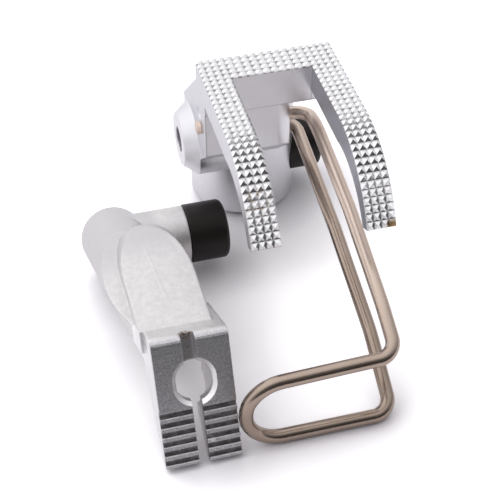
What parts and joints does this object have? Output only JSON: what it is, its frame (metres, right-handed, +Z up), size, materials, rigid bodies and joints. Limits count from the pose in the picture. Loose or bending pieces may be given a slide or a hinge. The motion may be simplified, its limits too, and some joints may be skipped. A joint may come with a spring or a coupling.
{
  "type": "walking foot presser foot set",
  "caption": "Presser feet of a walking-foot sewing machine: a knurled U-shaped outer foot with a wire finger guard, and a grooved inner foot with a needle hole, with socket cap clamp screws.",
  "frame": {"origin": "centre of the outer foot's presser bar bore, where it opens on the bench", "axes": "+Z up from the bench and out of the upturned sole, -Y towards the toes, +X to the clamp screw's side"},
  "size_m": [0.0418, 0.0658, 0.0336],
  "materials": {
    "plated_casting": "satin nickel plating",
    "guard_wire": "drawn stainless wire, bronze tint",
    "inner_casting": "satin plating, bead blasted",
    "black_screw": "black oxide"
  },
  "bodies": {
    "outer_foot_with_guard": {"outer_foot": "plated_casting", "finger_guard": "guard_wire"},
    "outer_screw": {"outer_clamp_screw": "black_screw"},
    "inner_foot": {"inner_foot": "inner_casting"},
    "inner_screw": {"inner_clamp_screw": "black_screw"}
  },
  "joints": [
    {"name": "outer_clamp_turn", "type": "hinge", "parent": "outer_foot_with_guard", "child": "outer_screw", "pos_m": [0.00645, 0, 0.0078], "axis": [1, 0, 0], "range_deg": [0, 1080]},
    {"name": "inner_foot_slide", "type": "slide", "parent": "outer_foot_with_guard", "child": "inner_foot", "axis": [-1, 0, 0], "range_m": [0, 0.03]},
    {"name": "inner_clamp_turn", "type": "hinge", "parent": "inner_foot", "child": "inner_screw", "pos_m": [-0.01336, -0.01696, 0.00641], "axis": [0.9993, 0.0262, -0.0251], "range_deg": [0, 1080]}
  ]
}
